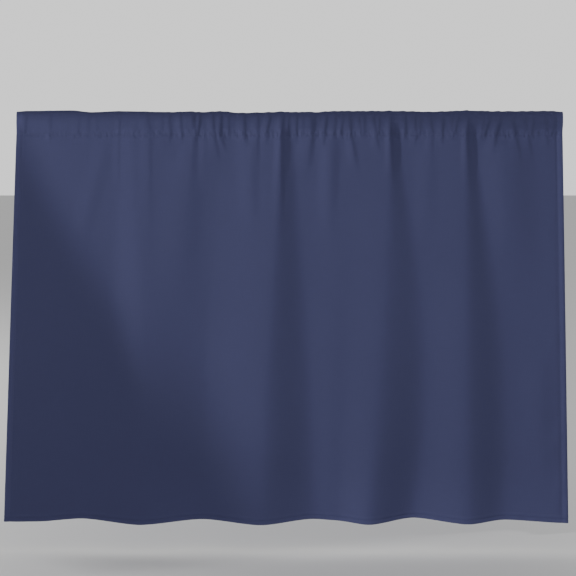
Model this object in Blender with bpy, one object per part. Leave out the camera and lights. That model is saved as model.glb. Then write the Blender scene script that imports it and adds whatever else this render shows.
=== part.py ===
"""Sink skirt: one hemmed cloth gathered on a rod pocket, modelled in the shape in which it hangs.

Metres, +Z up. The origin is the middle of the top edge, +X runs along the rod and the face side
looks along -Y. The cloth is one panel with a rod pocket sewn along its top edge: the pocket is
the strip that the rod runs through, and the panel hangs from the seam under it.
"""

from collections import namedtuple
import math

import bmesh
import bpy

# Whole skirt
TOP_WIDTH = 1.060
DROP = 0.810
LEFT_FLARE = 0.0345
RIGHT_FLARE = 0.0195

# Cloth
CLOTH = 0.0016
HEM_CLOTH = 0.0024
SIDE_HEM = 0.012
BOTTOM_HEM = 0.015
HEM_STEP = 0.0015
SEAM_GAP = 0.0003

# Rod pocket
POCKET_HEIGHT = 0.045
POCKET_WALL = 0.0012
ROD_ROOM = 0.0136
ROD_TOP = -0.012
ROD_FOOT = -0.024
SEAM_DEPTH = 0.0034
BACK_SHIFT = 0.011

# Mesh density
PANEL_COLUMNS = 104
BODY_ROWS = 14
HEM_ROWS = 2
POCKET_COLUMNS = 146
WALL_POINTS = 3
ARCH_POINTS = 7

SEAM = -POCKET_HEIGHT
MIDDLE = -0.365

# The folds that run from seam to hem. top, mid and hem are places along the rod at those heights,
# and the out columns say how far the cloth stands in front of its mean plane there. What stands
# forward at the hem also hangs lower, by the share that HEM_SAG gives.
Fold = namedtuple("Fold", "top mid hem out_top out_mid out_hem")
FOLDS = (
    Fold(top=-0.530, mid=-0.545, hem=-0.565, out_top=0.000, out_mid=0.001, out_hem=0.001),
    Fold(top=-0.450, mid=-0.470, hem=-0.498, out_top=0.001, out_mid=0.001, out_hem=0.000),
    Fold(top=-0.328, mid=-0.350, hem=-0.413, out_top=0.000, out_mid=-0.003, out_hem=-0.008),
    Fold(top=-0.306, mid=-0.290, hem=-0.290, out_top=0.004, out_mid=0.004, out_hem=0.010),
    Fold(top=-0.170, mid=-0.168, hem=-0.176, out_top=-0.004, out_mid=-0.004, out_hem=-0.009),
    Fold(top=-0.014, mid=-0.034, hem=-0.053, out_top=0.006, out_mid=0.0075, out_hem=0.013),
    Fold(top=0.022, mid=0.034, hem=0.051, out_top=-0.003, out_mid=-0.005, out_hem=-0.010),
    Fold(top=0.195, mid=0.188, hem=0.156, out_top=0.005, out_mid=0.006, out_hem=0.011),
    Fold(top=0.228, mid=0.246, hem=0.251, out_top=-0.002, out_mid=-0.003, out_hem=-0.012),
    Fold(top=0.343, mid=0.347, hem=0.353, out_top=0.005, out_mid=0.006, out_hem=0.010),
    Fold(top=0.378, mid=0.405, hem=0.426, out_top=-0.002, out_mid=-0.006, out_hem=-0.009),
    Fold(top=0.530, mid=0.538, hem=0.550, out_top=0.001, out_mid=0.002, out_hem=0.003),
)
HEM_SAG = 0.25

# The gathers: soft ridges that start over the rod, cross the seam and die out in the panel.
# rod, seam and foot are places along the rod, reach is how far below the top edge the foot lies.
Gather = namedtuple("Gather", "rod seam foot reach rise width")
GATHERS = (
    Gather(rod=-0.281, seam=-0.275, foot=-0.276, reach=0.110, rise=0.0011, width=0.012),
    Gather(rod=-0.248, seam=-0.250, foot=-0.242, reach=0.085, rise=0.0008, width=0.010),
    Gather(rod=-0.236, seam=-0.234, foot=-0.238, reach=0.070, rise=0.0015, width=0.009),
    Gather(rod=-0.215, seam=-0.211, foot=-0.215, reach=0.075, rise=0.0020, width=0.009),
    Gather(rod=-0.189, seam=-0.182, foot=-0.178, reach=0.300, rise=0.0034, width=0.015),
    Gather(rod=-0.174, seam=-0.180, foot=-0.181, reach=0.055, rise=0.0018, width=0.007),
    Gather(rod=-0.151, seam=-0.149, foot=-0.133, reach=0.250, rise=0.0023, width=0.012),
    Gather(rod=-0.135, seam=-0.137, foot=-0.123, reach=0.150, rise=0.0022, width=0.010),
    Gather(rod=-0.092, seam=-0.090, foot=-0.089, reach=0.075, rise=0.0019, width=0.012),
    Gather(rod=-0.063, seam=-0.065, foot=-0.065, reach=0.180, rise=0.0021, width=0.012),
    Gather(rod=-0.038, seam=-0.048, foot=-0.048, reach=0.070, rise=0.0018, width=0.009),
    Gather(rod=-0.014, seam=-0.013, foot=-0.013, reach=0.160, rise=0.0026, width=0.009),
    Gather(rod=0.013, seam=0.011, foot=0.011, reach=0.068, rise=0.0017, width=0.008),
    Gather(rod=0.026, seam=0.026, foot=0.026, reach=0.068, rise=0.0016, width=0.008),
    Gather(rod=0.046, seam=0.048, foot=0.040, reach=0.170, rise=0.0023, width=0.011),
    Gather(rod=0.071, seam=0.065, foot=0.061, reach=0.078, rise=0.0018, width=0.009),
    Gather(rod=0.092, seam=0.086, foot=0.084, reach=0.240, rise=0.0025, width=0.012),
    Gather(rod=0.113, seam=0.117, foot=0.133, reach=0.130, rise=0.0020, width=0.010),
    Gather(rod=0.158, seam=0.166, foot=0.172, reach=0.088, rise=0.0018, width=0.009),
    Gather(rod=0.193, seam=0.195, foot=0.199, reach=0.160, rise=0.0027, width=0.009),
    Gather(rod=0.220, seam=0.224, foot=0.225, reach=0.066, rise=0.0016, width=0.008),
    Gather(rod=0.238, seam=0.244, foot=0.238, reach=0.075, rise=0.0019, width=0.009),
    Gather(rod=0.269, seam=0.275, foot=0.271, reach=0.190, rise=0.0020, width=0.012),
    Gather(rod=0.296, seam=0.294, foot=0.292, reach=0.072, rise=0.0018, width=0.009),
    Gather(rod=0.345, seam=0.343, foot=0.347, reach=0.160, rise=0.0027, width=0.009),
    Gather(rod=0.389, seam=0.378, foot=0.377, reach=0.050, rise=0.0015, width=0.007),
    Gather(rod=0.409, seam=0.399, foot=0.389, reach=0.095, rise=0.0023, width=0.010),
    Gather(rod=0.420, seam=0.436, foot=0.451, reach=0.280, rise=0.0028, width=0.016),
    Gather(rod=0.449, seam=0.461, foot=0.471, reach=0.190, rise=0.0020, width=0.012),
    Gather(rod=0.492, seam=0.500, foot=0.498, reach=0.080, rise=0.0013, width=0.009),
)
LEAD_SIDE = 1.25
LEE_SIDE = 0.80
ROD_SHARE = 0.80

# How far the top edge lies under the origin's height, from left to right.
EdgeDip = namedtuple("EdgeDip", "along dip")
TOP_EDGE = (
    EdgeDip(along=-0.530, dip=0.0010),
    EdgeDip(along=-0.425, dip=0.0000),
    EdgeDip(along=-0.385, dip=0.0035),
    EdgeDip(along=-0.332, dip=0.0015),
    EdgeDip(along=-0.230, dip=0.0045),
    EdgeDip(along=-0.198, dip=0.0030),
    EdgeDip(along=-0.172, dip=0.0055),
    EdgeDip(along=-0.130, dip=0.0020),
    EdgeDip(along=-0.070, dip=0.0055),
    EdgeDip(along=-0.016, dip=0.0030),
    EdgeDip(along=0.090, dip=0.0015),
    EdgeDip(along=0.205, dip=0.0025),
    EdgeDip(along=0.345, dip=0.0005),
    EdgeDip(along=0.405, dip=0.0020),
    EdgeDip(along=0.530, dip=0.0008),
)

NAVY = (0.050, 0.059, 0.122, 1.0)


def ease(t):
    """Smooth step from 0 to 1."""
    t = min(max(t, 0.0), 1.0)
    return t * t * (3.0 - 2.0 * t)


def mix(a, b, t):
    return a + (b - a) * t


def through(top, mid, hem, z):
    """The smooth curve through three values, given at the seam, the middle and the hem."""
    t = (SEAM - z) / (DROP - POCKET_HEIGHT)
    m = (SEAM - MIDDLE) / (DROP - POCKET_HEIGHT)
    at_top = (t - m) * (t - 1.0) / m
    at_mid = t * (t - 1.0) / (m * (m - 1.0))
    at_hem = t * (t - m) / (1.0 - m)
    return top * at_top + mid * at_mid + hem * at_hem


def eased_between(x, places, values):
    """The value at x, easing from each place to the next."""
    if x <= places[0]:
        return values[0]
    for left, right, low, high in zip(places, places[1:], values, values[1:]):
        if x <= right:
            return mix(low, high, ease((x - left) / (right - left)))
    return values[-1]


def fold_out(x, z):
    """How far the long folds bring the cloth forward at x and height z."""
    z = min(z, SEAM)
    places = [through(f.top, f.mid, f.hem, z) for f in FOLDS]
    values = [through(f.out_top, f.out_mid, f.out_hem, z) for f in FOLDS]
    return eased_between(x, places, values)


def gather_out(x, z):
    """How far the gathers bring the cloth forward: steep on the lee side, gentle on the other."""
    total = 0.0
    for g in GATHERS:
        if z >= SEAM:
            down = z / SEAM
            ridge = mix(g.rod, g.seam, down)
            strength = mix(ROD_SHARE, 1.0, down)
        else:
            down = (SEAM - z) / (g.reach - POCKET_HEIGHT)
            ridge = mix(g.seam, g.foot, min(down, 1.0))
            strength = 1.0 - ease(down)
        side = LEE_SIDE if x > ridge else LEAD_SIDE
        off = abs(x - ridge) / (g.width * side)
        if off < 1.0:
            total += g.rise * strength * 0.5 * (1.0 + math.cos(math.pi * off))
    return total


def top_dip(x):
    return eased_between(x, [e.along for e in TOP_EDGE], [e.dip for e in TOP_EDGE])


def across(share, z):
    """The place along the rod, from the share of the width: the sides flare towards the hem."""
    flare = -z / DROP
    left = -TOP_WIDTH / 2 - LEFT_FLARE * flare
    right = TOP_WIDTH / 2 + RIGHT_FLARE * flare
    return mix(left, right, share)


def grid_of(bm, columns, rows, place):
    """A grid of faces, with each corner moved to place(column, row)."""
    made = bmesh.ops.create_grid(bm, x_segments=columns, y_segments=rows, size=0.5)
    for vert in made["verts"]:
        column = round((vert.co.x + 0.5) * columns)
        row = round((vert.co.y + 0.5) * rows)
        vert.co = place(column, row)
    return made["verts"]


def finished(bm, name, colour):
    """Turns the bmesh into a named object with its own cloth material."""
    bmesh.ops.recalc_face_normals(bm, faces=bm.faces)
    mesh = bpy.data.meshes.new(name)
    bm.to_mesh(mesh)
    bm.free()
    mesh.shade_smooth()
    mesh.set_sharp_from_angle(angle=math.radians(50))
    material = bpy.data.materials.new(name + "_cloth")
    material.use_nodes = True
    shader = material.node_tree.nodes["Principled BSDF"]
    shader.inputs["Base Color"].default_value = colour
    shader.inputs["Roughness"].default_value = 0.85
    shader.inputs["Metallic"].default_value = 0.0
    mesh.materials.append(material)
    piece = bpy.data.objects.new(name, mesh)
    bpy.context.collection.objects.link(piece)
    return piece


def panel_columns():
    """Shares of the width where the panel has a column: close together at the side hems' edges."""
    hem = SIDE_HEM / TOP_WIDTH
    step = HEM_STEP / TOP_WIDTH
    inner = [mix(hem + step, 1.0 - hem - step, i / PANEL_COLUMNS) for i in range(PANEL_COLUMNS + 1)]
    return [0.0, hem] + inner + [1.0 - hem, 1.0]


def panel_rows():
    """Heights where the panel has a row: closer under the seam, and at the bottom hem's edge."""
    top = SEAM - SEAM_GAP
    hem_line = BOTTOM_HEM - DROP
    body = [mix(top, hem_line, (i / BODY_ROWS) ** 1.45) for i in range(BODY_ROWS + 1)]
    hem = [mix(hem_line - HEM_STEP, -DROP, i / HEM_ROWS) for i in range(HEM_ROWS + 1)]
    return body + hem


def build_panel():
    """The hanging panel: its face side is drawn, and Solidify gives the cloth and its hems."""
    columns = panel_columns()
    rows = panel_rows()[::-1]
    hem_top = BOTTOM_HEM - DROP - HEM_STEP / 2

    def place(column, row):
        z = rows[row]
        x = across(columns[column], z)
        out = fold_out(x, z)
        sag = HEM_SAG * out * (z / DROP) ** 2
        return (x, -out - gather_out(x, z), z - sag)

    bm = bmesh.new()
    grid_of(bm, len(columns) - 1, len(rows) - 1, place)
    panel = finished(bm, "skirt_panel", NAVY)

    hems = panel.vertex_groups.new(name="hems")
    last = len(columns) - 1
    for index in range(len(rows) * len(columns)):
        row, column = divmod(index, len(columns))
        in_side_hem = column in (0, 1, last - 1, last)
        if rows[row] < hem_top or in_side_hem:
            hems.add([index], 1.0, "REPLACE")

    cloth = panel.modifiers.new("cloth", "SOLIDIFY")
    cloth.thickness = HEM_CLOTH
    cloth.offset = -1.0
    cloth.use_even_offset = True
    cloth.vertex_group = "hems"
    cloth.thickness_vertex_group = CLOTH / HEM_CLOTH
    return panel


def pocket_section():
    """The pocket's section as (side, slide, lift) rows, from the front foot over to the back foot.

    side runs from -1 on the front wall to 1 on the back, slide from 0 beside the rod to 1 at the
    seam, and lift from 0 beside the rod to 1 over it.
    """
    walls = [1.0 - i / WALL_POINTS for i in range(WALL_POINTS + 1)]
    front = [(-1.0, slide, 0.0) for slide in walls]
    arch = []
    for i in range(ARCH_POINTS):
        angle = math.pi * i / (ARCH_POINTS - 1)
        arch.append((-math.cos(angle), 0.0, math.sin(angle)))
    back = [(1.0, slide, 0.0) for slide in reversed(walls)]
    return front + arch + back


def pocket_point(share, side, slide, lift, beside_rod):
    """A point of the pocket's outer skin; the wall under the rod slants in to the seam."""
    z = mix(ROD_FOOT, SEAM, slide)
    x = across(share, z)
    if beside_rod:
        z = mix(ROD_TOP, -top_dip(x), lift)
    half = ROD_ROOM / 2 + POCKET_WALL
    front_ruffle = gather_out(x, z)
    if side < 0:
        y = mix(half * side, 0.0, slide) - front_ruffle
    else:
        back_ruffle = mix(gather_out(x + BACK_SHIFT, z), -front_ruffle, slide)
        y = mix(half * side, SEAM_DEPTH, slide) + back_ruffle
    return (x, y - fold_out(x, SEAM) * slide, z)


def build_pocket():
    """The rod pocket: a gathered tunnel, open at both ends, closed under its walls at the seam."""
    section = pocket_section()
    arch_start = WALL_POINTS + 1
    arch_end = arch_start + ARCH_POINTS

    def place(column, row):
        row = row % len(section)
        side, slide, lift = section[row]
        beside_rod = arch_start <= row < arch_end
        return pocket_point(column / POCKET_COLUMNS, side, slide, lift, beside_rod)

    bm = bmesh.new()
    verts = grid_of(bm, POCKET_COLUMNS, len(section), place)
    bmesh.ops.remove_doubles(bm, verts=verts, dist=1e-6)
    pocket = finished(bm, "rod_pocket", NAVY)
    wall = pocket.modifiers.new("wall", "SOLIDIFY")
    wall.thickness = POCKET_WALL
    wall.offset = -1.0
    wall.use_even_offset = True
    return pocket


def clear_scene():
    for piece in list(bpy.data.objects):
        bpy.data.objects.remove(piece, do_unlink=True)


clear_scene()
build_panel()
build_pocket()
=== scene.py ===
"""Sink skirt: a short plain curtain gathered on a rod pocket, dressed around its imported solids."""

from collections import namedtuple
import math

import bmesh
import bpy
from mathutils import Matrix, Vector
import numpy as np


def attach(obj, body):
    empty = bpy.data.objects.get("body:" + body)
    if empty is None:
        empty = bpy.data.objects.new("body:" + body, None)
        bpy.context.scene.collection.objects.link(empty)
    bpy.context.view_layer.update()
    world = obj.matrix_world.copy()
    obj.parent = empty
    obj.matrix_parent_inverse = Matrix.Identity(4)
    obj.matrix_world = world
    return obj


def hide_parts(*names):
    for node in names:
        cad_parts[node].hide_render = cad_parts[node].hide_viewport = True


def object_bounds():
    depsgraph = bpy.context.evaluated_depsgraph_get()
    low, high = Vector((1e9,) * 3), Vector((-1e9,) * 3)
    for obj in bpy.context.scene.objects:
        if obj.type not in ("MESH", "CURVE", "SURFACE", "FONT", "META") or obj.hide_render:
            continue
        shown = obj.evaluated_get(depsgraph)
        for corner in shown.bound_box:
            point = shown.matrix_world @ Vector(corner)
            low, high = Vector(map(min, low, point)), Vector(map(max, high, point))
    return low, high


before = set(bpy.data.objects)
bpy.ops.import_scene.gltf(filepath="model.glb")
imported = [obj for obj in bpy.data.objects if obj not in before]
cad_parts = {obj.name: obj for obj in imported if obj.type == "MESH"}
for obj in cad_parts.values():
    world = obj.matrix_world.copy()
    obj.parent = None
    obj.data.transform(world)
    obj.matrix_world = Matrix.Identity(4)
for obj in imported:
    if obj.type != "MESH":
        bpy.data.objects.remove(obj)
cad_box = [list(corner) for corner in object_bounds()]


# --- Camera, lights and floor ----------------------------------------------------------------
# The skirt hangs just under eye height and is seen square on from a few paces away. A small lamp
# in a hood stands to its left, broad weak ones stand to its right and behind it, and a pale floor
# lies under it.

EYE_DISTANCE = 3.5
EYE_HEIGHT = 0.11
EYE_ASIDE = -0.0035
LOOK_DOWN = 4.11
LENS_SHIFT = -0.1807
FRAME_WIDTH = 1.1193
SENSOR = 36.0

camera_data = bpy.data.cameras.new("camera")
camera_data.sensor_width = SENSOR
camera_data.lens = SENSOR * EYE_DISTANCE / FRAME_WIDTH
camera_data.shift_y = LENS_SHIFT
camera = bpy.data.objects.new("camera", camera_data)
camera.location = (EYE_ASIDE, -EYE_DISTANCE, EYE_HEIGHT)
camera.rotation_euler = (math.radians(90.0 - LOOK_DOWN), 0.0, 0.0)
bpy.context.collection.objects.link(camera)
bpy.context.scene.camera = camera

BROAD_LAMP_SIZE = 1.6
LAMP_AIM = (0.0, 0.0, -0.35)
BroadLamp = namedtuple("BroadLamp", "name place power")
BROAD_LAMPS = (
    BroadLamp(name="fill_lamp", place=(4.5, -4.0, 0.3), power=28.0),
    BroadLamp(name="back_lamp", place=(-3.0, 1.5, 0.4), power=70.0),
)

for broad in BROAD_LAMPS:
    soft_light = bpy.data.lights.new(broad.name, "AREA")
    soft_light.size = BROAD_LAMP_SIZE
    soft_light.energy = broad.power
    lamp = bpy.data.objects.new(broad.name, soft_light)
    lamp.location = broad.place
    lamp_way = Vector(LAMP_AIM) - Vector(broad.place)
    lamp.rotation_euler = lamp_way.to_track_quat("-Z", "Y").to_euler()
    bpy.context.collection.objects.link(lamp)


class Signal:
    """One value in a shader, written in sums and products like a plain number."""

    def __init__(self, tree, output=None):
        self.tree = tree
        self.output = output

    def put(self, entry, value):
        """A number, a colour or another signal into an input."""
        if isinstance(value, Signal):
            self.tree.links.new(value.output, entry)
        else:
            entry.default_value = value

    def node(self, kind, settings, inputs, output=0):
        """Any node: its settings first, then its inputs. Gives back the output asked for."""
        made = self.tree.nodes.new(kind)
        for name, value in settings.items():
            setattr(made, name, value)
        for name, value in inputs.items():
            self.put(made.inputs[name], value)
        return Signal(self.tree, made.outputs[output])

    def math(self, operation, *values):
        """A sum, a product or another operation on numbers and signals."""
        return self.node("ShaderNodeMath", {"operation": operation}, dict(enumerate(values)))

    def __add__(self, other):
        return self.math("ADD", self, other)

    def __sub__(self, other):
        return self.math("SUBTRACT", self, other)

    def __mul__(self, other):
        return self.math("MULTIPLY", self, other)

    def __rsub__(self, other):
        return self.math("SUBTRACT", other, self)

    __radd__ = __add__
    __rmul__ = __mul__

    def part(self, axis):
        """One part, X, Y or Z, of a vector."""
        return self.node("ShaderNodeSeparateXYZ", {}, {"Vector": self}, axis)

    def between(self, start, end):
        """0 before the start, 1 past the end, eased."""
        ends = {"Value": self, "From Min": start, "From Max": end}
        return self.node("ShaderNodeMapRange", {"interpolation_type": "SMOOTHSTEP"}, ends)

    def blend(self, none, full):
        """The colour that stands between two colours by this share."""
        entries = {0: self, 6: none, 7: full}
        return self.node("ShaderNodeMix", {"data_type": "RGBA"}, entries, 2)


# The doors on the key lamp's hood: the straight lines, as they fall on the cloth, where each cuts
# its light off to the right hand of the line, and half the width of its soft edge there.
KEY_PLACE = (-5.0, -1.85, -0.02)
KEY_POWER = 880.0
KEY_SIZE = 0.015
Door = namedtuple("Door", "x_from z_from x_to z_to soft")
DOORS = (
    Door(x_from=-0.334, z_from=-0.431, x_to=-0.479, z_to=-0.135, soft=0.007),
    Door(x_from=-0.090, z_from=-0.707, x_to=-0.332, z_to=-0.431, soft=0.054),
    Door(x_from=-0.530, z_from=-0.008, x_to=0.550, z_to=-0.029, soft=0.020),
)

key = bpy.data.lights.new("key_lamp", "POINT")
key.energy = KEY_POWER
key.shadow_soft_size = KEY_SIZE
key.use_nodes = True
hood = Signal(key.node_tree)
ray = hood.node("ShaderNodeTexCoord", {}, {}, "Normal")
lit = 1.0
for door in DOORS:
    start = Vector((door.x_from, 0.0, door.z_from)) - Vector(KEY_PLACE)
    end = Vector((door.x_to, 0.0, door.z_to)) - Vector(KEY_PLACE)
    edge = start.cross(end).normalized()
    product = {"operation": "DOT_PRODUCT"}
    inside = hood.node("ShaderNodeVectorMath", product, {0: ray, 1: edge}, "Value")
    soft = door.soft / (0.5 * (start + end)).length
    lit = inside.between(-soft, soft) * lit
hood.put(key.node_tree.nodes["Emission"].inputs["Strength"], lit)
lamp = bpy.data.objects.new("key_lamp", key)
lamp.location = KEY_PLACE
bpy.context.collection.objects.link(lamp)

# The soft light of the room, a little stronger from behind the skirt and weaker from the ceiling.
# It changes between two values of its direction's y and z.
FRONT_WALL = 0.985
BACK_WALL = 1.10
CEILING_SHADE = 0.55
TO_BACK = (-0.3, 0.7)
TO_TOP = (0.08, 0.6)

world = bpy.data.worlds.new("studio")
world.use_nodes = True
sky = Signal(world.node_tree)
toward = sky.node("ShaderNodeTexCoord", {}, {}, "Generated")
from_back = toward.part("Y").between(*TO_BACK)
from_top = toward.part("Z").between(*TO_TOP)
room = (FRONT_WALL + (BACK_WALL - FRONT_WALL) * from_back) * (1.0 - CEILING_SHADE * from_top)
studio_light = world.node_tree.nodes["Background"]
studio_light.inputs["Color"].default_value = (1.0, 1.0, 1.0, 1.0)
sky.put(studio_light.inputs["Strength"], room)
bpy.context.scene.world = world

FLOOR_UNDER_HEM = 0.055
FLOOR_HALF = 6.0
FLOOR_BEHIND = 3.0
FLOOR_PALE = (0.80, 0.80, 0.80, 1.0)
FLOOR_ROUGH = 0.9

floor_mesh = bmesh.new()
bmesh.ops.create_grid(floor_mesh, x_segments=1, y_segments=1, size=FLOOR_HALF)
floor_level = cad_box[0][2] - FLOOR_UNDER_HEM
bmesh.ops.translate(floor_mesh, verts=floor_mesh.verts, vec=(0.0, FLOOR_BEHIND, floor_level))
floor_data = bpy.data.meshes.new("floor")
floor_mesh.to_mesh(floor_data)
floor_mesh.free()
floor = bpy.data.objects.new("floor", floor_data)
bpy.context.collection.objects.link(floor)
floor_paint = bpy.data.materials.new("floor_paint")
floor_paint.use_nodes = True
floor_shader = floor_paint.node_tree.nodes["Principled BSDF"]
floor_shader.inputs["Base Color"].default_value = FLOOR_PALE
floor_shader.inputs["Roughness"].default_value = FLOOR_ROUGH
floor_data.materials.append(floor_paint)


# --- The hung cloth --------------------------------------------------------------------------
# One length of smooth plain-woven polyester, dyed navy. Its sides and foot are turned twice to
# the back as hems, and its top is folded to the back and stitched down as a pocket for the rod.

# As it hangs: half its width on the rod, what each side gains down to the foot, and the levels of
# the foot, the seam, the middle column of the fold table, and the rod's widest part.
TOP_HALF = 0.530
LEFT_FLARE = 0.0345
RIGHT_FLARE = 0.0195
DROP = 0.810
SEAM = -0.045
MIDDLE = -0.365
ROD_TOP = -0.014
ROD_FOOT = -0.016
ROD_HALF = 0.0070

# As it was cut and turned. A layer is the cloth with the air that a fold leaves beside it, and a
# pile is the depth from the face to the last of the layers behind it. The first points of a turned
# edge are the tucked ones, and their corners are drawn in.
FLAT_WIDTH = 1.17
CLOTH = 0.00045
LAYER = 0.0008
HEM_PILE = 2.0 * LAYER
CORNER_PILE = 6.0 * LAYER
TUCKED = 0.006
SIDE_HEM = 0.012
BOTTOM_HEM = 0.015
POCKET_MARGIN = 0.004
TUCKED_POINTS = 3
CORNER_DRAWN = 0.001

# What the sewing does to the face: how deep a line of stitches pulls it in and how far that
# reaches, how full the hem stands beside it, and how the foot's fold rolls forward.
HEM_STITCH_IN = 0.0015
FOOT_STITCH_IN = 0.0072
SEAM_PULL = 0.0005
SEAM_REACH = 0.0035
HEM_PULL = 0.0006
FOOT_PULL = 0.0010
HEM_PULL_REACH = 0.004
HEM_FULL = 0.0005
SIDE_HEM_FULL = 0.4 * SIDE_HEM
FOOT_ROLL = 0.0007
FOOT_ROLL_HIGH = 0.0045

# How finely the mesh is laid out. Every other column is enough below the level CLOSE_ABOVE.
COLUMNS = 500
CLOSE_ABOVE = -0.170
SIDE_HEM_COLUMNS = 5
BESIDE_STITCH = 0.002
BY_SIDE_STITCH = (-0.008, -0.006, -0.004, -0.002, -0.001, 0.0, 0.001, 0.002, 0.0035, 0.0055)
BY_FOOT_STITCH = (-0.002, -0.001, 0.0, 0.001, 0.002, 0.004)
UNDER_FOOT_STITCH = 0.004
FOOT_HEM_ROWS = 4
FOOT_ROWS = 3
LOWER_ROWS = 38
UPPER_ROWS = 23
POCKET_ROWS = 7
ROD_ROWS = 10
RULER = np.arange(-0.60, 0.6001, 0.002)

# The folds that run from seam to hem. top, mid and hem are places along the rod at those heights,
# and the out columns say how far the cloth stands in front of its mean plane there. What stands
# forward at the hem also hangs lower, by the share that HEM_SAG gives. The straight shares say
# how much of each fold's left and right slope is straight, not eased, and the soft steps of the
# ruler how far its lines are rounded off.
Fold = namedtuple("Fold", "top mid hem out_top out_mid out_hem")
FOLDS = (
    Fold(top=-0.530, mid=-0.545, hem=-0.565, out_top=0.000, out_mid=0.001, out_hem=0.0008),
    Fold(top=-0.450, mid=-0.470, hem=-0.498, out_top=0.001, out_mid=0.001, out_hem=0.000),
    Fold(top=-0.335, mid=-0.350, hem=-0.411, out_top=0.000, out_mid=-0.003, out_hem=-0.0088),
    Fold(top=-0.308, mid=-0.290, hem=-0.296, out_top=0.0020, out_mid=0.0030, out_hem=0.01),
    Fold(top=-0.134, mid=-0.157, hem=-0.172, out_top=-0.0024, out_mid=-0.0036, out_hem=-0.0072),
    Fold(top=-0.019, mid=-0.036, hem=-0.058, out_top=0.0034, out_mid=0.0066, out_hem=0.0108),
    Fold(top=0.006, mid=0.030, hem=0.047, out_top=-0.002, out_mid=-0.0050, out_hem=-0.0078),
    Fold(top=0.100, mid=0.100, hem=0.090, out_top=0.002, out_mid=0.000, out_hem=-0.0036),
    Fold(top=0.193, mid=0.186, hem=0.155, out_top=0.0052, out_mid=0.0068, out_hem=0.0098),
    Fold(top=0.204, mid=0.257, hem=0.245, out_top=-0.001, out_mid=-0.003, out_hem=-0.0114),
    Fold(top=0.341, mid=0.345, hem=0.352, out_top=0.0045, out_mid=0.0065, out_hem=0.0088),
    Fold(top=0.352, mid=0.409, hem=0.424, out_top=-0.001, out_mid=-0.006, out_hem=-0.0056),
    Fold(top=0.530, mid=0.538, hem=0.550, out_top=-0.0032, out_mid=0.0015, out_hem=0.005),
)
HEM_SAG = 0.46
LEAD_STRAIGHT = 0.45
LEE_STRAIGHT = 0.28
SOFT_AT_SEAM = 3
SOFT_AT_HEM = 9

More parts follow.
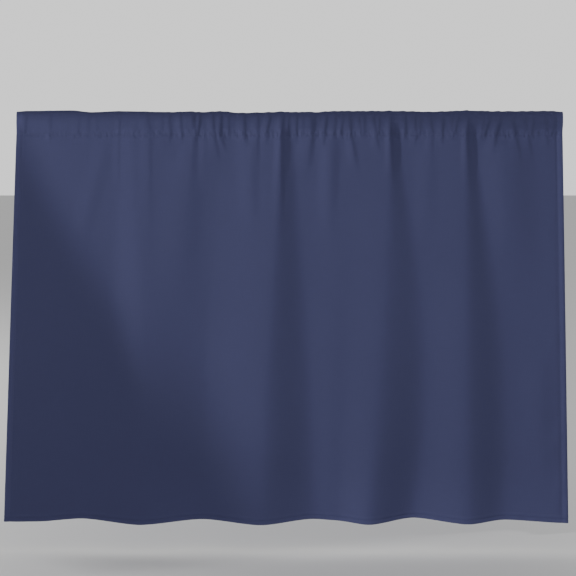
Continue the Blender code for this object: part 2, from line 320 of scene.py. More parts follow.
# The gathers: soft ridges that start over the rod, cross the seam and die out in the panel.
# rod, seam and foot are places along the rod, reach is how far below the top edge the foot lies.
# Each is gentle on its left side and steep on its right, spreads as it dies out, stands higher
# over the rod than at the seam, and lifts the top edge by a share of its rise. The pocket's back
# has the same gathers a little to one side.
Gather = namedtuple("Gather", "rod seam foot reach rise width")
GATHERS = (
    Gather(rod=-0.512, seam=-0.518, foot=-0.518, reach=0.060, rise=0.0006, width=0.011),
    Gather(rod=-0.467, seam=-0.467, foot=-0.467, reach=0.035, rise=0.0005, width=0.010),
    Gather(rod=-0.409, seam=-0.415, foot=-0.416, reach=0.055, rise=0.0003, width=0.009),
    Gather(rod=-0.391, seam=-0.395, foot=-0.396, reach=0.062, rise=0.0004, width=0.009),
    Gather(rod=-0.376, seam=-0.376, foot=-0.376, reach=0.040, rise=0.0003, width=0.008),
    Gather(rod=-0.281, seam=-0.275, foot=-0.276, reach=0.360, rise=0.0009, width=0.014),
    Gather(rod=-0.248, seam=-0.250, foot=-0.242, reach=0.085, rise=0.0005, width=0.010),
    Gather(rod=-0.236, seam=-0.234, foot=-0.238, reach=0.070, rise=0.0009, width=0.009),
    Gather(rod=-0.215, seam=-0.211, foot=-0.215, reach=0.070, rise=0.0014, width=0.009),
    Gather(rod=-0.330, seam=-0.334, foot=-0.336, reach=0.200, rise=0.0006, width=0.007),
    Gather(rod=-0.194, seam=-0.190, foot=-0.196, reach=0.170, rise=0.0024, width=0.020),
    Gather(rod=-0.189, seam=-0.184, foot=-0.182, reach=0.100, rise=0.0010, width=0.008),
    Gather(rod=-0.174, seam=-0.180, foot=-0.181, reach=0.055, rise=0.0018, width=0.007),
    Gather(rod=-0.151, seam=-0.149, foot=-0.138, reach=0.110, rise=0.0019, width=0.010),
    Gather(rod=-0.135, seam=-0.137, foot=-0.123, reach=0.090, rise=0.0020, width=0.009),
    Gather(rod=-0.120, seam=-0.120, foot=-0.120, reach=0.050, rise=0.0010, width=0.007),
    Gather(rod=-0.092, seam=-0.090, foot=-0.089, reach=0.075, rise=0.0019, width=0.012),
    Gather(rod=-0.063, seam=-0.065, foot=-0.065, reach=0.130, rise=0.0014, width=0.010),
    Gather(rod=-0.038, seam=-0.048, foot=-0.048, reach=0.070, rise=0.0018, width=0.009),
    Gather(rod=-0.016, seam=-0.017, foot=-0.021, reach=0.280, rise=0.0027, width=0.011),
    Gather(rod=-0.003, seam=-0.005, foot=-0.005, reach=0.058, rise=0.0010, width=0.006),
    Gather(rod=0.013, seam=0.011, foot=0.011, reach=0.068, rise=0.0017, width=0.008),
    Gather(rod=0.024, seam=0.024, foot=0.024, reach=0.062, rise=0.0012, width=0.008),
    Gather(rod=0.039, seam=0.040, foot=0.024, reach=0.150, rise=0.0034, width=0.019),
    Gather(rod=0.071, seam=0.065, foot=0.061, reach=0.078, rise=0.0018, width=0.009),
    Gather(rod=0.088, seam=0.084, foot=0.084, reach=0.070, rise=0.0012, width=0.010),
    Gather(rod=0.104, seam=0.098, foot=0.096, reach=0.050, rise=0.0013, width=0.007),
    Gather(rod=0.113, seam=0.117, foot=0.133, reach=0.130, rise=0.0017, width=0.010),
    Gather(rod=0.131, seam=0.137, foot=0.138, reach=0.050, rise=0.0011, width=0.007),
    Gather(rod=0.143, seam=0.143, foot=0.143, reach=0.060, rise=0.0011, width=0.007),
    Gather(rod=0.158, seam=0.166, foot=0.172, reach=0.088, rise=0.0018, width=0.009),
    Gather(rod=0.172, seam=0.172, foot=0.172, reach=0.050, rise=0.0012, width=0.007),
    Gather(rod=0.193, seam=0.195, foot=0.199, reach=0.160, rise=0.0027, width=0.009),
    Gather(rod=0.220, seam=0.224, foot=0.225, reach=0.066, rise=0.0016, width=0.008),
    Gather(rod=0.238, seam=0.244, foot=0.238, reach=0.075, rise=0.0019, width=0.009),
    Gather(rod=0.251, seam=0.252, foot=0.252, reach=0.046, rise=0.0010, width=0.007),
    Gather(rod=0.269, seam=0.275, foot=0.271, reach=0.110, rise=0.0014, width=0.010),
    Gather(rod=0.296, seam=0.294, foot=0.292, reach=0.072, rise=0.0018, width=0.009),
    Gather(rod=0.312, seam=0.314, foot=0.315, reach=0.062, rise=0.0009, width=0.007),
    Gather(rod=0.327, seam=0.319, foot=0.318, reach=0.046, rise=0.0013, width=0.007),
    Gather(rod=0.345, seam=0.343, foot=0.347, reach=0.160, rise=0.0027, width=0.009),
    Gather(rod=0.376, seam=0.372, foot=0.371, reach=0.062, rise=0.0013, width=0.008),
    Gather(rod=0.389, seam=0.378, foot=0.377, reach=0.050, rise=0.0015, width=0.007),
    Gather(rod=0.409, seam=0.399, foot=0.389, reach=0.095, rise=0.0023, width=0.010),
    Gather(rod=0.420, seam=0.436, foot=0.451, reach=0.120, rise=0.0016, width=0.011),
    Gather(rod=0.430, seam=0.438, foot=0.439, reach=0.046, rise=0.0010, width=0.007),
    Gather(rod=0.449, seam=0.461, foot=0.471, reach=0.110, rise=0.0014, width=0.010),
    Gather(rod=0.471, seam=0.469, foot=0.469, reach=0.052, rise=0.0013, width=0.008),
    Gather(rod=0.492, seam=0.500, foot=0.498, reach=0.080, rise=0.0013, width=0.009),
    Gather(rod=0.514, seam=0.510, foot=0.509, reach=0.046, rise=0.0012, width=0.008),
)
LEAD_SIDE = 1.40
LEE_SIDE = 0.66
FOOT_SPREAD = 1.6
ROD_SHARE = 1.45
RUFFLE_RISE = 0.32
BACK_SHIFT = 0.011

# Soft folds that lie within the panel: swells of the cloth under the gathers, pulls from the side
# hems and a mark from packing. Each rises over its lead and falls over its lee, square to its
# line, and opens and closes over those lengths at its two ends.
Swell = namedtuple("Swell", "x_from z_from x_to z_to rise lead lee opens closes")
SWELLS = (
    Swell(
        x_from=-0.353, z_from=-0.045, x_to=-0.420, z_to=-0.290,
        rise=0.0010, lead=0.030, lee=0.022, opens=0.040, closes=0.080,
    ),
    Swell(
        x_from=-0.192, z_from=-0.060, x_to=-0.224, z_to=-0.420,
        rise=0.0024, lead=0.060, lee=0.042, opens=0.050, closes=0.220,
    ),
    Swell(
        x_from=-0.168, z_from=-0.010, x_to=-0.160, z_to=-0.170,
        rise=0.0022, lead=0.022, lee=0.055, opens=0.020, closes=0.090,
    ),
    Swell(
        x_from=-0.080, z_from=-0.040, x_to=-0.076, z_to=-0.260,
        rise=0.0018, lead=0.030, lee=0.022, opens=0.040, closes=0.120,
    ),
    Swell(
        x_from=0.081, z_from=-0.040, x_to=0.072, z_to=-0.270,
        rise=0.0027, lead=0.027, lee=0.022, opens=0.040, closes=0.150,
    ),
    Swell(
        x_from=0.120, z_from=-0.050, x_to=0.124, z_to=-0.130,
        rise=0.0012, lead=0.020, lee=0.014, opens=0.030, closes=0.050,
    ),
    Swell(
        x_from=0.266, z_from=-0.040, x_to=0.266, z_to=-0.280,
        rise=0.0014, lead=0.030, lee=0.028, opens=0.060, closes=0.120,
    ),
    Swell(
        x_from=0.414, z_from=-0.040, x_to=0.440, z_to=-0.420,
        rise=0.0060, lead=0.060, lee=0.070, opens=0.040, closes=0.260,
    ),
    Swell(
        x_from=0.540, z_from=-0.405, x_to=0.505, z_to=-0.460,
        rise=0.0012, lead=0.016, lee=0.016, opens=0.020, closes=0.020,
    ),
    Swell(
        x_from=0.490, z_from=-0.460, x_to=0.490, z_to=-0.740,
        rise=0.0020, lead=0.045, lee=0.032, opens=0.080, closes=0.140,
    ),
    Swell(
        x_from=0.545, z_from=-0.620, x_to=0.485, z_to=-0.700,
        rise=0.0014, lead=0.018, lee=0.018, opens=0.020, closes=0.040,
    ),
    Swell(
        x_from=0.545, z_from=-0.702, x_to=0.515, z_to=-0.790,
        rise=0.0012, lead=0.016, lee=0.016, opens=0.020, closes=0.040,
    ),
    Swell(
        x_from=-0.550, z_from=-0.690, x_to=-0.470, z_to=-0.720,
        rise=0.0008, lead=0.014, lee=0.014, opens=0.020, closes=0.030,
    ),
    Swell(
        x_from=-0.011, z_from=-0.116, x_to=0.076, z_to=-0.116,
        rise=0.0005, lead=0.005, lee=0.005, opens=0.010, closes=0.020,
    ),
)

# How far the top edge lies under the origin's height, from left to right.
EdgeDip = namedtuple("EdgeDip", "along dip")
TOP_EDGE = (
    EdgeDip(along=-0.530, dip=0.0006),
    EdgeDip(along=-0.505, dip=-0.0008),
    EdgeDip(along=-0.425, dip=-0.0018),
    EdgeDip(along=-0.385, dip=0.0017),
    EdgeDip(along=-0.332, dip=-0.0003),
    EdgeDip(along=-0.230, dip=0.0015),
    EdgeDip(along=-0.198, dip=0.0012),
    EdgeDip(along=-0.172, dip=0.0016),
    EdgeDip(along=-0.130, dip=0.0002),
    EdgeDip(along=-0.096, dip=0.0034),
    EdgeDip(along=-0.060, dip=0.0024),
    EdgeDip(along=-0.016, dip=0.0012),
    EdgeDip(along=0.040, dip=0.0022),
    EdgeDip(along=0.090, dip=-0.0003),
    EdgeDip(along=0.205, dip=-0.0005),
    EdgeDip(along=0.270, dip=0.0010),
    EdgeDip(along=0.345, dip=-0.0013),
    EdgeDip(along=0.405, dip=0.0002),
    EdgeDip(along=0.505, dip=-0.0006),
    EdgeDip(along=0.530, dip=0.0008),
)


def mix(a, b, t):
    """The value that lies the share t of the way from a to b."""
    return a + (b - a) * t


def ease(t):
    """Smooth step from 0 to 1, on a number or an array."""
    t = np.clip(t, 0.0, 1.0)
    return t * t * (3.0 - 2.0 * t)


def bump(distance, width):
    """A soft ridge, 1 on its line and 0 at its width."""
    return 0.5 * (1.0 + np.cos(math.pi * np.clip(np.abs(distance) / width, 0.0, 1.0)))


def below_seam(z):
    """The share of the way from the seam down to the foot."""
    return (SEAM - z) / (DROP + SEAM)


def through(top, mid, hem, z):
    """The smooth curve through three values, given at the seam, the middle and the hem."""
    t = below_seam(z)
    m = below_seam(MIDDLE)
    at_top = (t - m) * (t - 1.0) / m
    at_mid = t * (t - 1.0) / (m * (m - 1.0))
    at_hem = t * (t - m) / (1.0 - m)
    return top * at_top + mid * at_mid + hem * at_hem


def between(x, places, values, rising=0.0, falling=0.0):
    """The values at x, easing from each place to the next, with a share of straight slope."""
    places = np.asarray(places)
    values = np.asarray(values)
    spot = np.clip(np.searchsorted(places, x) - 1, 0, len(places) - 2)
    t = np.clip((x - places[spot]) / (places[spot + 1] - places[spot]), 0.0, 1.0)
    straight = np.where(values[spot + 1] > values[spot], rising, falling)
    return mix(values[spot], values[spot + 1], mix(ease(t), t, straight))


def softened(values, steps):
    """A running mean, so that no fold has a hard line."""
    kernel = np.hanning(2 * steps + 3)[1:-1]
    padded = np.pad(values, steps, mode="edge")
    return np.convolve(padded, kernel / kernel.sum(), "valid")


def side_places(z):
    """Where the left and right edges hang at the height z."""
    flare = -z / DROP
    return -TOP_HALF - LEFT_FLARE * flare, TOP_HALF + RIGHT_FLARE * flare


def fold_out(x, z):
    """How far the long folds bring the cloth forward, at the places x and the height z."""
    z = min(z, SEAM)
    places = [through(f.top, f.mid, f.hem, z) for f in FOLDS]
    values = [through(f.out_top, f.out_mid, f.out_hem, z) for f in FOLDS]
    line = between(RULER, places, values, LEAD_STRAIGHT, LEE_STRAIGHT)
    steps = round(mix(SOFT_AT_SEAM, SOFT_AT_HEM, below_seam(z)))
    return np.interp(x, RULER, softened(line, steps))


def gather_out(x, z):
    """How far the gathers bring the cloth forward."""
    total = np.zeros_like(x)
    for g in GATHERS:
        if z >= SEAM:
            down = z / SEAM
            ridge = mix(g.rod, g.seam, down)
            strength = mix(ROD_SHARE, 1.0, down)
            width = g.width
        else:
            down = min((SEAM - z) / (g.reach + SEAM), 1.0)
            ridge = mix(g.seam, g.foot, down)
            strength = 1.0 - ease(down)
            width = g.width * mix(1.0, FOOT_SPREAD, down)
        side = np.where(x > ridge, LEE_SIDE, LEAD_SIDE)
        total += g.rise * strength * bump((x - ridge) / side, width)
    return total


def swell_out(x, z):
    """How far the swells bring the cloth forward."""
    total = np.zeros_like(x)
    for w in SWELLS:
        run = Vector((w.x_to - w.x_from, w.z_to - w.z_from))
        along = ((x - w.x_from) * run.x + (z - w.z_from) * run.y) / run.length
        off = ((z - w.z_from) * run.x - (x - w.x_from) * run.y) / run.length
        there = ease(along / w.opens) * ease((run.length - along) / w.closes)
        total += w.rise * there * bump(off, np.where(off > 0.0, w.lee, w.lead))
    return total


def sewn_out(x, z):
    """How far the stitch lines and the turned edges bring the cloth forward."""
    high = z + DROP
    foot = FOOT_ROLL * bump(high - FOOT_ROLL_HIGH, FOOT_ROLL_HIGH)
    foot += HEM_FULL * bump(high - BOTTOM_HEM + 0.5 * FOOT_STITCH_IN, 0.5 * FOOT_STITCH_IN)
    foot -= FOOT_PULL * bump(high - BOTTOM_HEM + FOOT_STITCH_IN, HEM_PULL_REACH)
    left, right = side_places(z)
    inset = np.minimum(x - left, right - x)
    side = HEM_FULL * bump(inset - SIDE_HEM_FULL, SIDE_HEM_FULL)
    side -= HEM_PULL * bump(inset - SIDE_HEM, HEM_PULL_REACH)
    return foot + side - SEAM_PULL * bump(z - SEAM, SEAM_REACH)


def face_out(x, z):
    """How far the face of the cloth stands forward, all folds together."""
    return fold_out(x, z) + gather_out(x, z) + swell_out(x, z) + sewn_out(x, z)


def top_dip(x):
    """How far the top edge lies under the origin's height, at the places x."""
    return between(x, [e.along for e in TOP_EDGE], [e.dip for e in TOP_EDGE])


def turned_edge(width, steps):
    """A hem turned twice, in section: (inset, depth) from its tucked edge round to the face."""
    half = 0.5 * LAYER
    inner = [(width - TUCKED, LAYER), (width - half, LAYER), (width, LAYER + half)]
    flat = [(mix(width - half, LAYER, i / steps), HEM_PILE) for i in range(steps)]
    outer = []
    for degrees in (90.0, 45.0, 0.0, -45.0, -90.0):
        angle = math.radians(degrees)
        outer.append((LAYER * (1.0 - math.cos(angle)), LAYER * (1.0 + math.sin(angle))))
    return inner + flat + outer


# A column of the cloth: its share of the width, how far in from that side, how deep it lies behind
# the face, and the depth of all the layers that are piled up there once the foot is turned.
Column = namedtuple("Column", "share inset depth pile")


def face_column(share, inset):
    """A column on the face, with the side hem's layers piled behind it near the sides."""
    from_side = abs(inset) + 2.0 * TOP_HALF * min(share, 1.0 - share)
    hemmed = 1.0 - float(ease((from_side - SIDE_HEM) / SIDE_HEM))
    return Column(share, inset, 0.0, mix(HEM_PILE, CORNER_PILE, hemmed))


def columns_between(margin, count):
    """Even columns on the face, from one margin to the other."""
    return [face_column(i / count, margin * (1.0 - 2.0 * i / count)) for i in range(count + 1)]


def cloth_columns():
    """The columns from the left hem's tucked edge, round its fold, across to the right hem's."""
    side = turned_edge(SIDE_HEM, SIDE_HEM_COLUMNS)
    left = [Column(0.0, inset, depth, CORNER_PILE) for inset, depth in side]
    left += [face_column(0.0, SIDE_HEM - HEM_STITCH_IN + step) for step in BY_SIDE_STITCH]
    right = [Column(1.0, -c.inset, c.depth, c.pile) for c in reversed(left)]
    return left + columns_between(left[-1].inset + BESIDE_STITCH, COLUMNS) + right


def as_arrays(columns):
    """The columns turned into one array for each of their fields."""
    return {name: np.array([getattr(c, name) for c in columns]) for name in Column._fields}


# A row of the cloth: its level, how far it is wrapped round to the back, on the pocket which side
# of the rod it lies on (-1 front, 1 back) and how far it has climbed over the rod, and how far the
# corners of a tucked edge are drawn in.
Row = namedtuple("Row", "level wrap side lift drawn", defaults=(0.0, 0.0, 0.0, 0.0))


def steps_between(start, end, count):
    """Levels after the start, up to the end."""
    return [mix(start, end, i / count) for i in range(1, count + 1)]


def panel_rows():
    """Rows from the foot hem's tucked edge, round the foot and up the face to just under the
    seam, and the number of the first one that has every column."""
    hem_line = BOTTOM_HEM - DROP
    stitch_line = hem_line - FOOT_STITCH_IN
    rows = []
    for step, (inset, depth) in enumerate(turned_edge(BOTTOM_HEM, FOOT_HEM_ROWS)):
        drawn = CORNER_DRAWN if step < TUCKED_POINTS else 0.0
        rows.append(Row(inset - DROP, depth / HEM_PILE, drawn=drawn))
    face = steps_between(LAYER - DROP, stitch_line - UNDER_FOOT_STITCH, FOOT_ROWS)
    face += [stitch_line + step for step in BY_FOOT_STITCH]
    face += [hem_line, hem_line + BESIDE_STITCH]
    face += steps_between(face[-1], CLOSE_ABOVE, LOWER_ROWS)
    full = len(rows) + len(face) - 1
    face += steps_between(face[-1], SEAM - SEAM_REACH, UPPER_ROWS)
    return rows + [Row(level) for level in face], full


def pocket_rows():
    """Rows from the seam up the pocket's front, over the rod, down its back and round its edge."""
    seam = [SEAM - 0.5 * SEAM_REACH, SEAM, SEAM + 0.5 * SEAM_REACH, SEAM + SEAM_REACH]
    up_front = seam + steps_between(seam[-1], ROD_TOP, POCKET_ROWS)
    front = [Row(level, side=-1.0) for level in up_front]
    arch = []
    for i in range(1, ROD_ROWS):
        angle = math.pi * i / ROD_ROWS
        arch.append(Row(ROD_TOP, side=-math.cos(angle), lift=math.sin(angle)))
    down_back = [ROD_TOP] + steps_between(ROD_TOP, SEAM, POCKET_ROWS)
    back = [Row(level, side=1.0) for level in down_back]
    foot = SEAM - POCKET_MARGIN
    turned = [Row(foot, wrap=1.0, side=1.0)]
    turned.append(Row(foot - 0.5 * LAYER, wrap=0.75, side=1.0, drawn=CORNER_DRAWN))
    for level in (foot, foot + TUCKED):
        turned.append(Row(level, wrap=0.5, side=1.0, drawn=CORNER_DRAWN))
    return front + arch + back + turned


def places_across(columns, row):
    """How far along the rod each column of the row lies."""
    left, right = side_places(row.level)
    return mix(left + row.drawn, right - row.drawn, columns["share"]) + columns["inset"]


def wrapped(columns, share):
    """How deep each column lies once this share of its turn to the back is made."""
    return mix(columns["depth"], columns["pile"] - columns["depth"], share)


def panel_places(columns, row):
    """Where a row of the panel lies, as arrays of x, y and z. Inner layers lie inside the foot."""
    x = places_across(columns, row)
    sag = HEM_SAG * (row.level / DROP) ** 2 * fold_out(x, row.level)
    folded_in = columns["depth"] * math.sin(math.pi * row.wrap)
    return x, wrapped(columns, row.wrap) - face_out(x, row.level), row.level - sag + folded_in


def pocket_places(columns, row):
    """Where a row of the pocket lies: pinned to the panel at the seam and round the rod above."""
    x = places_across(columns, row)
    back = max(row.side, 0.0)
    ruffle = mix(gather_out(x, row.level), gather_out(x + BACK_SHIFT, row.level), back)
    free = row.side * (ROD_HALF + ruffle - columns["depth"])
    if row.side < 0.0:
        pinned = columns["depth"] - face_out(x, SEAM) - (ruffle - gather_out(x, SEAM))
    else:
        pinned = wrapped(columns, row.wrap or back) - face_out(x, min(row.level, SEAM))
    hanging = float(ease((ROD_FOOT - row.level) / (ROD_FOOT - SEAM)))
    lifted = RUFFLE_RISE * ruffle - top_dip(x) - columns["depth"]
    return x, mix(free, pinned, hanging), mix(row.level, lifted, row.lift)


def row_places(columns, row):
    """Where the corners of one row lie, as arrays of x, y and z."""
    return pocket_places(columns, row) if row.side else panel_places(columns, row)


def flat_widths(columns):
    """Where each column lies on the flat cloth, in metres from its middle."""
    flat_face = FLAT_WIDTH - 2.0 * (SIDE_HEM + TUCKED + HEM_PILE)
    flat = np.stack([flat_face * columns["share"] + columns["inset"], columns["depth"]])
    wide = np.concatenate([[0.0], np.cumsum(np.linalg.norm(np.diff(flat), axis=0))])
    return wide - 0.5 * wide[-1]


def flat_heights(rows, middle):
    """Where each row lies on the flat cloth, in metres from the seam, along a middle column."""
    high = np.concatenate([[0.0], np.cumsum(np.linalg.norm(np.diff(middle, axis=0), axis=1))])
    return high - high[[row.level for row in rows].index(SEAM)]


def build_cloth():
    """The whole cloth as one sheet, which a modifier gives its thickness. Its UV map is metres
    from the middle and from the seam."""
    columns = as_arrays(cloth_columns())
    across = len(columns["share"]) - 1
    lower, full = panel_rows()
    rows = lower + pocket_rows()
    up = len(rows) - 1
    places = [np.stack(row_places(columns, row)) for row in rows]
    wide = flat_widths(columns)
    high = flat_heights(rows, np.array([place[:, across // 2] for place in places]))

    bm = bmesh.new()
    bmesh.ops.create_grid(bm, x_segments=across // 2, y_segments=up, size=0.5)
    row_of = bm.verts.layers.int.new("row")
    for vert in bm.verts:
        vert[row_of] = round((vert.co.y + 0.5) * up)
    upper = [e for e in bm.edges if e.verts[0][row_of] == e.verts[1][row_of] >= full]
    bmesh.ops.subdivide_edges(bm, edges=upper, cuts=1, use_grid_fill=True)
    uv = bm.loops.layers.uv.new("cloth_uv")
    for vert in bm.verts:
        row = round((vert.co.y + 0.5) * up)
        column = round((vert.co.x + 0.5) * across)
        vert.co = places[row][:, column]
        for loop in vert.link_loops:
            loop[uv].uv = (wide[column], high[row])
    bm.normal_update()
    mesh = bpy.data.meshes.new("skirt_cloth")
    bm.to_mesh(mesh)
    bm.free()
    mesh.shade_smooth()
    made = bpy.data.objects.new("skirt_cloth", mesh)
    bpy.context.collection.objects.link(made)
    woven = made.modifiers.new("cloth_thickness", "SOLIDIFY")
    woven.thickness = CLOTH
    woven.offset = -1.0
    return made


# The dye and the weave. Tones run from 0, deep, to 1, pale, and sizes are in metres on the flat
# cloth. The yarns are uneven, and the cloth is a little worn, creased and puckered at the seam,
# more so where it is gathered. Shade is painted into the hollows of the weave. A hem looks paler,
# being doubled, and light is painted onto the foot hem and the cloth above it, fading out to the
# left.
NAVY_DEEP = (0.0368, 0.0392, 0.0950, 1.0)
NAVY_PALE = (0.0584, 0.0618, 0.1485, 1.0)
TONE = 0.40
YARN = 0.00045
YARN_TONE = 0.34
# Painted shade: how much darker the cloth is painted where the weave's relief is low.
WEAVE_HOLLOW_SHADE = 0.07
WEAVE_RELIEF = 0.000028
SLUB_LONG = 0.030
SLUB_THICK = 0.0009
WEAR_SIZE = 0.20
WEAR_TONE = 0.10
CREASE_WIDE = 0.045
CREASE_HIGH = 0.090
CREASE_RELIEF = 0.00035
PUCKER_APART = 0.0085
PUCKER_LONG = 0.018
PUCKER_RELIEF = 0.0022
PUCKER_FADE = (0.0015, 0.013)
PUCKER_UNGATHERED = 0.6
GATHERED_FROM = (-0.26, -0.16)
DOUBLE_PALER = 0.30
DOUBLE_EDGE = 0.0006
FOOT_DOUBLE_SHARE = 0.5
# Painted light: how much lighter the foot hem and the cloth above it are painted, how high that
# reaches, and where along the width it fades in from the left.
FOOT_PAINTED_LIGHT = 0.19
FOOT_PAINTED_LIGHT_HIGH = 0.110
FOOT_PAINTED_LIGHT_FROM = (-0.55, -0.20)
CLOTH_ROUGH = 0.76
YARN_ROUGH = 0.10
CLOTH_SHINE = 0.2


def stretched_noise(paint, wide, high, detail, seed):
    """Noise drawn out to the given width and height, in metres, from 0 to 1."""
    spot = paint.node("ShaderNodeUVMap", {"uv_map": "cloth_uv"}, {}, "UV")
    scale = (1.0 / wide, 1.0 / high, 1.0)
    moved = {"Vector": spot, "Scale": scale, "Location": (seed, seed, 0.0)}
    spot = paint.node("ShaderNodeMapping", {}, moved)
    grain = {"Vector": spot, "Scale": 1.0, "Detail": detail}
    return paint.node("ShaderNodeTexNoise", {"noise_dimensions": "2D"}, grain)


def woven_cloth():
    """Navy plain weave: uneven yarns, painted shade in the weave's hollows, soft creases, puckers
    along the seam, paler doubled hems, painted light along the foot.
    """
    dye = bpy.data.materials.new("navy_cloth")
    dye.use_nodes = True
    paint = Signal(dye.node_tree)
    spot = paint.node("ShaderNodeUVMap", {"uv_map": "cloth_uv"}, {}, "UV")
    across = spot.part("X")
    up = spot.part("Y")
    from_middle = paint.math("ABSOLUTE", across)
    from_seam = paint.math("ABSOLUTE", up)

    weft = stretched_noise(paint, SLUB_LONG, SLUB_THICK, detail=2.0, seed=3.0)
    warp = stretched_noise(paint, SLUB_THICK, SLUB_LONG, detail=2.0, seed=11.0)
    yarns = weft + warp - 1.0
    wear = stretched_noise(paint, WEAR_SIZE, WEAR_SIZE, detail=3.0, seed=5.0) - 0.5
    turns = math.pi / YARN
    crossing = paint.math("SINE", across * turns) * paint.math("SINE", up * turns)
    side_line = 0.5 * FLAT_WIDTH - 2.0 * SIDE_HEM - TUCKED - HEM_PILE
    foot_line = BOTTOM_HEM - DROP - SEAM
    in_side_hem = from_middle.between(side_line - DOUBLE_EDGE, side_line + DOUBLE_EDGE)
    in_foot_hem = 1.0 - up.between(foot_line - DOUBLE_EDGE, foot_line + DOUBLE_EDGE)
    doubled = paint.math("MAXIMUM", in_side_hem, in_foot_hem * FOOT_DOUBLE_SHARE)
    # Painted light: the foot hem and the cloth for a set height above it are painted lighter, fading
    # upward and fading out towards the left side.
    painted_foot_light = 1.0 - up.between(foot_line, foot_line + FOOT_PAINTED_LIGHT_HIGH)
    painted_foot_light = painted_foot_light * across.between(*FOOT_PAINTED_LIGHT_FROM)
    # The weave term paints shade into the weave's hollows, following its relief.
    tone = TONE + YARN_TONE * yarns + WEAVE_HOLLOW_SHADE * crossing + WEAR_TONE * wear
    # The last term paints light onto the foot hem and the lowest stretch of cloth.
    tone = tone + DOUBLE_PALER * doubled + FOOT_PAINTED_LIGHT * painted_foot_light

    creases = stretched_noise(paint, CREASE_WIDE, CREASE_HIGH, detail=2.0, seed=7.0)
    gathered = mix(PUCKER_UNGATHERED, 1.0, across.between(*GATHERED_FROM))
    near_seam = 1.0 - from_seam.between(*PUCKER_FADE)
    puckers = stretched_noise(paint, PUCKER_APART, PUCKER_LONG, detail=1.0, seed=2.0)
    puckers = puckers * near_seam * gathered
    height = crossing * WEAVE_RELIEF + creases * CREASE_RELIEF + puckers * PUCKER_RELIEF
    raised = {"Height": height, "Distance": 1.0, "Strength": 1.0}
    relief = paint.node("ShaderNodeBump", {}, raised, "Normal")

    shader = dye.node_tree.nodes["Principled BSDF"]
    shader.inputs["Specular IOR Level"].default_value = CLOTH_SHINE
    paint.put(shader.inputs["Base Color"], tone.blend(NAVY_DEEP, NAVY_PALE))
    paint.put(shader.inputs["Roughness"], CLOTH_ROUGH + YARN_ROUGH * yarns)
    paint.put(shader.inputs["Normal"], relief)
    return dye


cloth = build_cloth()
cloth.data.materials.append(woven_cloth())
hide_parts("skirt_panel", "rod_pocket")
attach(cloth, "root")


# --- The sewing ------------------------------------------------------------------------------
# Lockstitch in matching navy thread: one line through pocket and panel at the seam, one up each
# side hem and one along the foot hem. It shows on the face and again on the back.

STITCH = 0.0032
STITCH_SHARE = 0.82
STITCH_ROUND = 6
STITCH_RINGS = 4
STITCHES_A_RUN = 24
THREAD = 0.00044
THREAD_LIFT = 0.00005
SIDE_MARGIN = 0.003


def on_row(columns, row):
    """The places of some columns on one row, as vectors."""
    return [Vector(place) for place in np.stack(row_places(as_arrays(columns), row), axis=1)]


def stitch_rows(start, end, wrap=0.0, side=0.0):
    """Rows a stitch apart, from one level to another."""
    count = round(abs(end - start) / STITCH)
    return [Row(mix(start, end, i / count), wrap, side) for i in range(count + 1)]


def sew(bm, line, outward):
    """Stitches from point to point of a line, each a stretched bead that lies in the cloth. They
    are made in short runs, because a bead added to a long seam takes longer."""
    for first in range(0, len(line) - 1, STITCHES_A_RUN):
        run = bmesh.new()
        part = line[first:first + STITCHES_A_RUN + 1]
        for start, end in zip(part, part[1:]):
            along = (end - start).normalized()
            side = along.cross(Vector((0.0, outward, 0.0))).normalized()
            out = side.cross(along)
            half = 0.5 * STITCH_SHARE * (end - start).length
            turned = Matrix((side, out, along)).transposed().to_4x4()
            size = Matrix.Diagonal((0.5 * THREAD, 0.5 * THREAD, half, 1.0))
            middle = Matrix.Translation(0.5 * (start + end) + out * THREAD_LIFT)
            bead = {"radius": 1.0, "matrix": middle @ turned @ size}
            bmesh.ops.create_uvsphere(
                run, u_segments=STITCH_ROUND, v_segments=STITCH_RINGS, **bead)
        sewn = bpy.data.meshes.new("stitches")
        run.to_mesh(sewn)
        run.free()
        bm.from_mesh(sewn)


def sewn_piece(name, bm, thread):
    """One line of sewing as a piece of the skirt."""
    mesh = bpy.data.meshes.new(name)
    bm.to_mesh(mesh)
    bm.free()
    mesh.shade_smooth()
    mesh.materials.append(thread)
    made = bpy.data.objects.new(name, mesh)
    bpy.context.collection.objects.link(made)
    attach(made, "root")
    return made


THREAD_DEEP = (0.040, 0.043, 0.100, 1.0)
THREAD_PALE = (0.062, 0.066, 0.145, 1.0)
TWIST = 0.0004
PLY_TONE = 0.4
SLOW_TONE = 0.5
SLOW_CHANGES = 60.0
THREAD_ROUGH = 0.50
SLOW_ROUGH = 0.15
THREAD_SHINE = 0.3


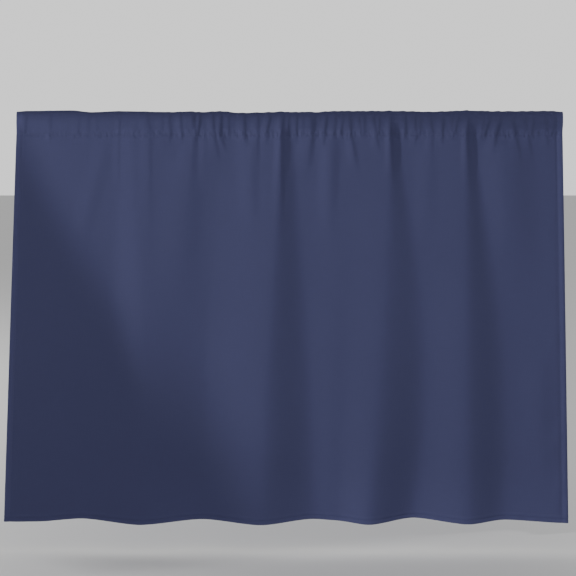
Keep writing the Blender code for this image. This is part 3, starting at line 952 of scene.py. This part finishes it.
def navy_thread():
    """Twisted polyester thread: fine slanting plies and a slow change of tone along the line."""
    dye = bpy.data.materials.new("navy_thread")
    dye.use_nodes = True
    paint = Signal(dye.node_tree)
    spot = paint.node("ShaderNodeTexCoord", {}, {}, "Object")
    changes = {"Vector": spot, "Scale": SLOW_CHANGES, "Detail": 1.0}
    slow = paint.node("ShaderNodeTexNoise", {}, changes)
    slant = spot.part("X") + spot.part("Z")
    plies = 0.5 + 0.5 * paint.math("SINE", slant * (2.0 * math.pi / TWIST))
    tone = SLOW_TONE * slow + PLY_TONE * plies
    shader = dye.node_tree.nodes["Principled BSDF"]
    shader.inputs["Specular IOR Level"].default_value = THREAD_SHINE
    paint.put(shader.inputs["Base Color"], tone.blend(THREAD_DEEP, THREAD_PALE))
    paint.put(shader.inputs["Roughness"], THREAD_ROUGH + SLOW_ROUGH * slow)
    return dye


thread = navy_thread()
across_line = columns_between(SIDE_MARGIN, round(2.0 * TOP_HALF / STITCH))

seam_sewing = bmesh.new()
sew(seam_sewing, on_row(across_line, Row(SEAM, side=-1.0)), -1.0)
sew(seam_sewing, on_row(across_line, Row(SEAM, side=1.0)), 1.0)
seam_stitches = sewn_piece("pocket_seam_stitches", seam_sewing, thread)

foot_sewing = bmesh.new()
foot_stitch_line = BOTTOM_HEM - FOOT_STITCH_IN - DROP
sew(foot_sewing, on_row(across_line, Row(foot_stitch_line)), -1.0)
sew(foot_sewing, on_row(across_line, Row(foot_stitch_line, wrap=1.0)), 1.0)
foot_stitches = sewn_piece("foot_hem_stitches", foot_sewing, thread)

# The side hems were sewn before the foot and the pocket were turned, so their stitches run on
# over both: up the face, up the turned foot, up the panel's back and down the pocket's back.
side_sewing = bmesh.new()
over_face = stitch_rows(STITCH - DROP, SEAM) + stitch_rows(SEAM, ROD_TOP, side=-1.0)[1:]
over_foot = stitch_rows(STITCH - DROP, foot_stitch_line, wrap=1.0)
over_back = stitch_rows(BOTTOM_HEM - DROP, SEAM - 2.0 * STITCH)
over_pocket = stitch_rows(ROD_TOP, SEAM - 0.5 * POCKET_MARGIN, side=1.0)
for share, inset in ((0.0, SIDE_HEM - HEM_STITCH_IN), (1.0, HEM_STITCH_IN - SIDE_HEM)):
    face = [Column(share, inset, 0.0, CORNER_PILE)]
    behind = [Column(share, inset, HEM_PILE, CORNER_PILE)]
    for column, rows, outward in (
        (face, over_face, -1.0),
        (face, over_foot, 1.0),
        (behind, over_back, 1.0),
        (face, over_pocket, 1.0),
    ):
        sew(side_sewing, [on_row(column, row)[0] for row in rows], outward)
side_stitches = sewn_piece("side_hem_stitches", side_sewing, thread)
